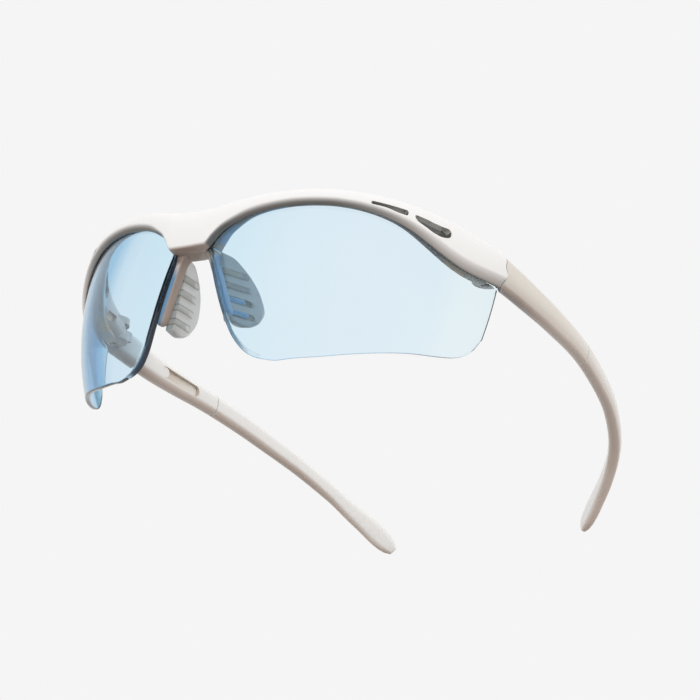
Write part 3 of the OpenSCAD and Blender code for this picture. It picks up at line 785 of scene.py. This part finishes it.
# Painted light and shade on the front moulding, by place and by the way a face turns
def front_tone(p, n):
    a, off = unwrap(p)
    lo = rise(BROW_LOW, a)
    if p.z < BRIDGE_Z - 0.4 and a < 45 and off < -LENS_T:
        return nose_arm_tone(n)
    if a > LUG_FROM - 0.1 and off < -SHEET - 0.6:
        return lug_tone(p, n, a, off)
    # Painted shade on the vents' walls: grey on the ceiling near the front, olive deeper in
    if in_vent(a, p.z) and out_share(n, a) < 0.6:
        return VENT_CEILING_SHADE if off > -1 and n.z < -0.2 else VENT_SHADE
    # Painted shade under the bridge
    if a < 5.2 and p.z < lo + 0.5 and n.z < -0.3:
        return BROWN_SHADE
    # Painted light under the brow beside the nose, where light has passed the lens
    if 3 < a < 22 and off < -LENS_T - 0.2 and n.z < -0.5 and p.z < lo + 1.3:
        return THROUGH_LENS_LIGHT
    if off > 0.2:
        return lip_tone(p, n, a)
    # Painted shade in the lens groove
    if p.z < groove_top(a) + 0.1 and off > -SHEET - GAP - 0.05:
        return DARK_SHADE
    # Painted shade under the groove's rear wall, browner at the bridge
    if off < -SHEET and p.z < lo + 1.6 and n.z < -0.2:
        return blend(GROOVE_BACK_SHADE, BROWN_SHADE, along(BRIDGE_SHARE, a))
    if off < 0.3 - depth(a) and a > 12:
        # The rear face lies in the shade of the lens towards the hinge
        return blend(WHITE, REAR_SHADE, smooth((a - 14) / 36))
    return WHITE


front = whole(front_moulding(), "front_moulding")
done(front, "front", "front_frame", white, tone=front_tone)

# ---------------------------------------------------------------- lenses
# How much thicker than the sheet the lens's lower rim is, by angle, and how high the rim is
RIM_MORE = [(4.5, 1.3), (13, 1.3), (17, 1.1), (20, 0.6), (24, 0), (78, 0)]
RIM_W = 0.9
# Shares of the height of a lens, close together in its rim
LENS_ROWS = [0, 0.004, 0.012, 0.024, 0.04, 0.06, 0.08, 0.1, 0.125, 0.15, 0.18, 0.21]
LENS_ROWS += spread(0.25, 0.95, 20) + [0.98, 1]


def lens_bottom(a):
    u = (a - LENS_FROM) / (LENS_TO - LENS_FROM)
    return rise(LENS_LOW, LENS_LOW[0][0] + u * (LENS_LOW[-1][0] - LENS_LOW[0][0]))


def lens_ring(a, inset):
    lo = lens_bottom(a) + inset
    hi = groove_top(a) - GAP - along(CORNER_DIP, a) - inset
    step = math.radians(0.4) * LENS_R
    ahead_a, back_a = min(a + 0.2, LENS_TO), max(a - 0.2, LENS_FROM)
    steep = (lens_bottom(ahead_a) - lens_bottom(back_a)) / step
    front_edge, rear_edge = [], []
    for k in LENS_ROWS:
        z = lo + (hi - lo) * k
        near = min(1, (z - lo) / math.sqrt(1 + steep ** 2) / RIM_W)
        t = SHEET + along(RIM_MORE, a) * (1 - near) ** 2
        front_edge.append((-inset, z))
        rear_edge.append((inset - t, z))
    # The lower rim is rounded with four points between the two faces
    f, b = front_edge[0][0], rear_edge[0][0]
    r = 0.3 * (f - b)
    rim = [(f - 0.3 * r, lo - 0.5 * r), (f - r, lo - 0.7 * r), (b + r, lo - 0.7 * r),
           (b + 0.3 * r, lo - 0.5 * r)]
    return [wrap(a, z, off) for off, z in front_edge[::-1] + rim + rear_edge]


def lens():
    ends = [(0, 0.28), (0.08, 0.09), (0.24, 0.0)]
    rows = [(LENS_FROM + d, i) for d, i in ends]
    rows += [(a, 0.0) for a in spread(LENS_FROM + 0.4, LENS_TO - 3, 104)]
    rows += [(a, 0.0) for a in spread(LENS_TO - 3, LENS_TO - 0.4, 10)[1:]]
    rows += [(LENS_TO - d, i) for d, i in reversed(ends)]
    return loft("lens", [lens_ring(a, i) for a, i in rows])


# Red and green of the tint, by angle; its blue is 1
LENS_RED = [(4.5, 0.70), (12, 0.71), (25, 0.76), (45, 0.79), (60, 0.80), (68, 0.86), (78, 0.89)]
LENS_GREEN = [(4.5, 0.90), (12, 0.90), (25, 0.91), (45, 0.915), (60, 0.925), (68, 0.965),
              (78, 0.98)]


# Painted shade on the thick edge beside the nose: near black on the picture's left, where it faces
# the camera, and blue on the right; with the angle up to which it reaches
LEFT_EDGE_SHADE, RIGHT_EDGE_SHADE = ([0.004, 0.012, 0.025], 24), ([0.05, 0.13, 0.22], 19)


def lens_tone(edge, reach):
    """A tint that is deeper beside the nose, with painted shade on the thick edge there."""
    def tone(p, n):
        a = unwrap(p)[0]
        tint = [along(LENS_RED, a), along(LENS_GREEN, a), 1.0]
        return blend(tint, edge, smooth((0.9 - out_share(n, a)) / 0.15) * smooth((reach - a) / 5))
    return tone


both_sides(lens(), "lens_shell", "front", "lens", lens_mat, angle=50,
           tone=lens_tone(*RIGHT_EDGE_SHADE), left_tone=lens_tone(*LEFT_EDGE_SHADE))

# ---------------------------------------------------------------- nose pads and screws
# Distance of a pad's rear edge from the datum, by share of its height
PAD_REAR = [(0, -1.0), (0.067, 3.0), (0.21, 7.0), (0.4, 9.2), (0.59, 8.2), (0.78, 5.0),
            (0.924, 0.4), (1, -3.2)]
PAD_LOW, PAD_HIGH, PAD_T = NOSE_ARM_Z - 1, BRIDGE_Z + 1.2, 2.8
PAD_LEVELS = [0, 0.004, 0.012, 0.026, 0.045] + spread(0.07, 0.93, 90)
PAD_LEVELS += [0.955, 0.974, 0.988, 0.996, 1]
# Section of a pad: share of its width, half thicknesses, radius, pieces of the next edge
PAD_SECTION = [(0, -1, 0.1, 18), (0.5, -1, 0.3, 12), (0.86, -0.9, 0.12, 2), (1, 0, 0.3, 2),
               (0.86, 0.9, 0.12, 12), (0.5, 1, 0.3, 18), (0, 1, 0.1, 4)]
PAD_SLOT_W, PAD_SLOT_END = FINGER_W + FINGER_PLAY, ARM_HALF_W + SLOT_LEN


def pad_x(y, z):
    """Where the middle of a pad lies: farther out towards its rear and its lower end."""
    return 7.3 + 0.2 * y + 0.19 * (PAD_HIGH - 0.4 - z)


def nose_pad():
    rings = []
    for u in PAD_LEVELS:
        z = PAD_LOW + u * (PAD_HIGH - PAD_LOW)
        front_y, rear_y = arm_mid(z).y + 1.8, along(PAD_REAR, u)
        t = PAD_T / 2 * (0.35 + 0.65 * rounding(min(u, 1 - u) / 0.045))
        ring = []
        for q in ring_section(PAD_SECTION):
            y = front_y + q[0] * (rear_y - front_y)
            ring.append(Vector((pad_x(y, z) - q[1] * t, y, z)))
        rings.append(ring)
    pad = loft("pad", rings)
    cut(pad, *[finger(i, PAD_SLOT_W, FINGER_T + FINGER_PLAY, PAD_SLOT_END, 0.1)
               for i in range(FINGERS)])
    return pad


def slot_distance(i, p):
    """Distance from slot i's outline, below 0 inside it, and the way along it, from the side."""
    q = turned(-FINGER_TILT, "X") @ turned(-FINGER_TURN, "Z") @ (p - finger_root(i))
    r = PAD_SLOT_W / 2
    return math.hypot(max(0.0, q.y - (PAD_SLOT_END - r)), q.z) - r, q.y


# Painted shade on the pads: smoky towards the lens, grey in the slots and along their outlines
MILKY, PAD_SHADE = [1.0, 1.0, 0.97], [0.40, 0.49, 0.56]
PAD_SLOT_SHADE, SLOT_OUTLINE_SHADE = [0.66, 0.66, 0.63], [0.52, 0.53, 0.50]


def pad_tone(p, n):
    """Milky towards the nose, with smoky painted shade towards the lens; painted shade shows the
    slots as darker outlines.
    """
    base = blend(MILKY, PAD_SHADE, smooth(0.5 + n.x))
    for i in range(FINGERS):
        d, y = slot_distance(i, p)
        if d < 0:
            share = 0.9 if i in (0, 3) else 0.5
            base = blend(base, PAD_SLOT_SHADE, smooth((9.2 - y) / 0.4) * share)
        base = shaded(base, blend(WHITE, SLOT_OUTLINE_SHADE, smooth(1.25 - abs(d) / 0.28)))
    return base


both_sides(nose_pad(), "nose_pad_soft", "front", "nose_pad", pad_mat, angle=40,
           tone=pad_tone)


def screw():
    z0 = BOSS_LOW
    body = hinge_rod("screw", HEAD_R, z0, z0 + HEAD_H, chamfer=0.3)
    join(body, hinge_rod("shaft", SHAFT_R, z0 + 0.5, BOSS_HIGH - 0.5))
    # The cross recess in its head
    for lx, ly in ((0.95, 0.22), (0.22, 0.95)):
        cut(body, box("cross", (HINGE_X - lx, HINGE_Y - ly, z0 - 0.5),
                      (HINGE_X + lx, HINGE_Y + ly, z0 + 0.5)))
    return body


both_sides(screw(), "hinge_bolt", "front", "hinge_screw", black)

# ---------------------------------------------------------------- temples
# Half of a temple's thickness and of its height at the hinge, before the shares of its rows
TEMPLE_HALF_T, TEMPLE_HALF_H = 2.6, 4.0
# Section of a temple in those halves, outwards and downwards, with the radius of each corner:
# a flat outer face, a slanted lower edge, and a rounded inner face
TEMPLE_SECTION = [(-1, -0.55, 1.4), (-0.5, -0.97, 1.2), (0.3, -1, 0.8), (0.85, -0.7, 0.5),
                  (1, -0.2, 1.2), (1, 0.3, 1.4), (0.7, 0.86, 1.2), (0.2, 1, 1.2),
                  (-0.5, 0.97, 1.2), (-1, 0.6, 1.4)]
TRAVEL, TONGUE = 15.0, 28.0
# Half of the tongue's thickness and height, and of its cavity's
TONGUE_HALF, CAVITY_HALF = (1.0, 2.1), (1.15, 2.25)
# Radii of the stud on the tongue and of the slot it runs in, and its place along the slide
STUD_R, STUD_SLOT_R = 1.6, 1.75
STUD_Z = -TONGUE + 1.6 + 0.6
# Share of the sleeve's length at which it starts to turn into the slide's direction
TURN_FROM = 0.878
# Gap at the seams of a temple, and play of its knuckle between the boss's ears
SEAM_GAP, EAR_PLAY = 0.3, 0.2


def percent(y):
    return 100 * (y - HINGE_Y) / TEMPLE_LEN


def temple_at(y):
    x = HINGE_X + along(SIDE, percent(y)) * TEMPLE_LEN / 100
    return Vector((x, y, rise(DROP, percent(y))))


def temple_dir(y):
    e = min(y + 0.2, TIP_Y)
    return (temple_at(e) - temple_at(e - 0.4)).normalized()


SLIDE = (temple_at(SLEEVE_END) - temple_at(SLEEVE_END - TONGUE)).normalized()


def temple_ring(y, d, grow=0.0, squash=1.0):
    """Section of a temple at y, square to the direction d."""
    c = temple_at(y)
    out = Vector((d[1], -d[0], 0)).normalized()
    up = out.cross(d)
    t = TEMPLE_HALF_T * along(THICK, percent(y)) * squash + grow
    h = TEMPLE_HALF_H * along(HEIGHT, percent(y)) * squash + grow
    section = ring_section([(x * t, -z * h, r, 1) for x, z, r in TEMPLE_SECTION], 3)
    return [c + q[1] * up + q[0] * out for q in section]


def at_seam():
    """Frame at the seam between sleeve and arm: X outwards, Y up, Z along the slide."""
    out = Vector((SLIDE[1], -SLIDE[0], 0)).normalized()
    up = SLIDE.cross(out)
    c = temple_at(SLEEVE_END)
    return Matrix([(out[i], up[i], SLIDE[i], c[i]) for i in range(3)] + [(0, 0, 0, 1)])


SEAM = at_seam()
SEAM_BACK = SEAM.inverted()


def seam_box(name, half, z0, z1):
    return moved(box(name, (-half[0], -half[1], z0), (half[0], half[1], z1)), SEAM)


def stud_slot():
    """The slot on the inner side in which the stud runs, with round ends."""
    r, z0, z1 = STUD_SLOT_R, STUD_Z, STUD_Z + TRAVEL
    outline = [(y, z1 + z) for y, z in (polar(r, a) for a in range(0, 181, 12))]
    outline += [(y, z0 + z) for y, z in (polar(r, a) for a in range(180, 361, 12))]
    return moved(loft("slot", [[Vector((x, y, z)) for y, z in outline] for x in (-8, 0.2)]), SEAM)


def sleeve():
    rings = []
    for u in spread(-0.02, TURN_FROM, 70):
        y = HINGE_Y + u * SLEEVE_LEN
        rings.append(temple_ring(y, temple_dir(y)))
    y0 = HINGE_Y + TURN_FROM * SLEEVE_LEN
    for k in spread(0, 1, 10)[1:]:
        d = temple_dir(y0).lerp(SLIDE, min(1.0, k * 1.6)).normalized()
        # The last ring is a little smaller, for a soft edge at the seam
        grow = -0.12 * max(0.0, (k - 0.97) / 0.03)
        rings.append(temple_ring(y0 + k * (SLEEVE_END - y0), d, grow=grow))
    body = loft("sleeve", rings)
    boss_room = hinge_rod("room", BOSS_ROOM_R, 0, 60, n=72)
    ahead_of = box("ahead", (HINGE_X - 8, HINGE_Y - 12, BOSS_LOW - 14),
                   (HINGE_X + 12, HINGE_Y + 12, BOSS_LOW + 26))
    cut(ahead_of, behind_seam(SEAM_GAP))
    cut(body, boss_room, ahead_of)
    low, high = SLOT_LOW + EAR_PLAY, SLOT_HIGH - EAR_PLAY
    knuckle = hinge_rod("knuckle", KNUCKLE_R, low, high)
    web = box("web", (HINGE_X - 1.6, HINGE_Y, low), (HINGE_X + KNUCKLE_R, HINGE_Y + 6.9, high))
    join(body, knuckle, web)
    cavity = seam_box("cavity", CAVITY_HALF, -TONGUE - 0.3, 3)
    cut(body, hinge_rod("pin", PIN_HOLE_R, 0, 60), cavity, stud_slot())
    return body


def arm():
    rings = []
    for u in spread(0, 1, 90):
        y = SLEEVE_END + u * (TIP_Y - SLEEVE_END)
        d = SLIDE if u == 0 else temple_dir(y)
        # The tip is rounded
        rings.append(temple_ring(y, d, squash=0.55 + 0.45 * rounding((1 - u) / 0.028)))
    body = moved(loft("arm", rings), Matrix.Translation(SEAM_GAP * SLIDE))
    tongue = seam_box("tongue", TONGUE_HALF, -TONGUE, 3)
    stud = rod("stud", STUD_R, 0.0, TEMPLE_HALF_T * along(THICK, 25) - 0.3, 0, 0, n=40)
    moved(stud, turned(-90, "Y"))
    join(tongue, moved(stud, SEAM @ Matrix.Translation((0, 0, STUD_Z))))
    join(body, tongue)
    return body


# Painted shade on the temples: beige in the slot, brown below, warmer on the outer face near the
# front, darker on the inside by the hinge
STUD_SLOT_SHADE, BEHIND_LENS_SHADE = [0.80, 0.72, 0.62], [0.60, 0.62, 0.65]
UNDER_SHADE_NEAR, UNDER_SHADE_FAR = [0.58, 0.48, 0.42], [0.80, 0.69, 0.62]
OUTER_SHADE_NEAR, OUTER_SHADE_FAR = [0.85, 0.81, 0.75], [0.93, 0.91, 0.89]


def temple_tone(p, n):
    """Painted shade: browner below, beige in the slot, and shaded on the inside next to the hinge.
    """
    u = p.y - HINGE_Y
    q = SEAM_BACK @ p
    across = abs(n.dot(SEAM.col[0].xyz))
    if abs(q.y) < 2.3 and -28.5 < q.z < -0.1 and (abs(q.x) < 1.2 or across < 0.7):
        return STUD_SLOT_SHADE
    under = blend(UNDER_SHADE_NEAR, UNDER_SHADE_FAR, smooth((u - 8) / 26))
    outer = blend(OUTER_SHADE_NEAR, OUTER_SHADE_FAR, smooth((u - 30) / 60))
    tone = blend(blend(WHITE, outer, smooth(n.x)), under, smooth((-n.z - 0.12) / 0.5))
    shade = smooth((0.5 - n.x) / 0.6) * (1 - smooth((u - 5) / 22))
    return shaded(tone, blend(WHITE, BEHIND_LENS_SHADE, shade))


both_sides(sleeve(), "temple_housing", "sleeve", "temple_sleeve", arm_mat,
           tone=temple_tone)
both_sides(arm(), "temple_tail", "arm", "temple_arm", arm_mat, tone=temple_tone)

# ---------------------------------------------------------------- studio
# Linear grey of the photo's background
PALE = (0.913, 0.913, 0.913, 1)
# Light of the surroundings, from below the horizon and above it
SKY_LOW, SKY_HIGH = (0.30, 0.22, 0.17), (1.05, 1.05, 1.06)
FLOOR_SIZE, FLOOR_Z = 6, -0.62
# Light that the floor gives back, from right below the glasses and from farther out
FLOOR_NEAR, FLOOR_FAR = (0.07, 0.05, 0.04), (0.92, 0.90, 0.88)
FLOOR_DARK, FLOOR_LIGHT = (0.855, 0.855, 0.855), (0.875, 0.875, 0.875)
KEY_POWER, KEY_SIZE, KEY_AT = 10, 1.6, (1.5, -2.0, 0.75)


def calculated(nt, operation, a, b):
    """A Math node's output for an output a and an output or number b."""
    n = nt.nodes.new("ShaderNodeMath")
    n.operation = operation
    nt.links.new(a, n.inputs[0])
    if isinstance(b, float):
        n.inputs[1].default_value = b
    else:
        nt.links.new(b, n.inputs[1])
    return n.outputs[0]


def seen_directly(nt):
    """1 for what the camera sees, also by reflection or through glass."""
    path = nt.nodes.new("ShaderNodeLightPath").outputs
    value = path["Is Camera Ray"]
    for kind in ("Is Glossy Ray", "Is Transmission Ray"):
        value = calculated(nt, "MAXIMUM", value, path[kind])
    # Light that has left a matt surface sees the dim studio
    first = calculated(nt, "LESS_THAN", path["Diffuse Depth"], 0.5)
    return calculated(nt, "MULTIPLY", value, first)


def studio_world():
    world = bpy.data.worlds.new("studio")
    world.use_nodes = True
    nt = world.node_tree
    nt.nodes.clear()
    co = nt.nodes.new("ShaderNodeTexCoord")
    split = nt.nodes.new("ShaderNodeSeparateXYZ")
    nt.links.new(co.outputs["Generated"], split.inputs[0])
    up = nt.nodes.new("ShaderNodeMapRange")
    up.inputs["From Min"].default_value = -1
    up.inputs["From Max"].default_value = 1
    nt.links.new(split.outputs["Z"], up.inputs["Value"])
    light = node(nt, "ShaderNodeBackground", Strength=1.0)
    sky = ramp(nt, up.outputs["Result"], (0.44, SKY_LOW), (0.52, SKY_HIGH))
    nt.links.new(sky, light.inputs["Color"])
    seen = node(nt, "ShaderNodeBackground", Strength=1.0, Color=PALE)
    both = mixed(nt, seen_directly(nt), light.outputs[0], seen.outputs[0])
    nt.links.new(both, nt.nodes.new("ShaderNodeOutputWorld").inputs["Surface"])
    return world


def floor_mat():
    """Pale where it is seen; it lights the glasses little and warmly from right below."""
    mat, nt, b = new_mat("pale_floor")
    b.inputs["Roughness"].default_value = 0.8
    mottle = node(nt, "ShaderNodeTexNoise", Scale=6.0, Detail=4.0)
    base = ramp(nt, mottle.outputs["Fac"], (0, FLOOR_DARK), (1, FLOOR_LIGHT))
    nt.links.new(base, b.inputs["Base Color"])
    co = nt.nodes.new("ShaderNodeTexCoord")
    away = nt.nodes.new("ShaderNodeVectorMath")
    away.operation = "LENGTH"
    nt.links.new(co.outputs["Object"], away.inputs[0])
    reach = nt.nodes.new("ShaderNodeMapRange")
    reach.inputs["From Max"].default_value = 2.0
    nt.links.new(away.outputs["Value"], reach.inputs["Value"])
    warm = node(nt, "ShaderNodeEmission", Strength=1.0)
    glow = ramp(nt, reach.outputs["Result"], (0.25, FLOOR_NEAR), (0.62, FLOOR_FAR))
    nt.links.new(glow, warm.inputs["Color"])
    both = mixed(nt, seen_directly(nt), warm.outputs[0], b.outputs[0])
    nt.links.new(both, nt.nodes["Material Output"].inputs["Surface"])
    return mat


bpy.context.scene.world = studio_world()

bpy.ops.mesh.primitive_plane_add(size=FLOOR_SIZE, location=(0, 0, FLOOR_Z))
floor = bpy.context.object
floor.name = "floor"
floor.data.materials.append(floor_mat())

# Broad soft lamp above the viewer's right shoulder
lamp_data = bpy.data.lights.new("soft_key", "AREA")
lamp_data.shape = "DISK"
lamp_data.size = KEY_SIZE
lamp_data.energy = KEY_POWER
lamp = linked("soft_key", lamp_data)
lamp.visible_glossy = False
lamp.visible_transmission = False
lamp.location = KEY_AT
lamp.rotation_euler = (-Vector(lamp.location)).to_track_quat("-Z", "Y").to_euler()

bpy.context.scene.view_settings.view_transform = "Standard"
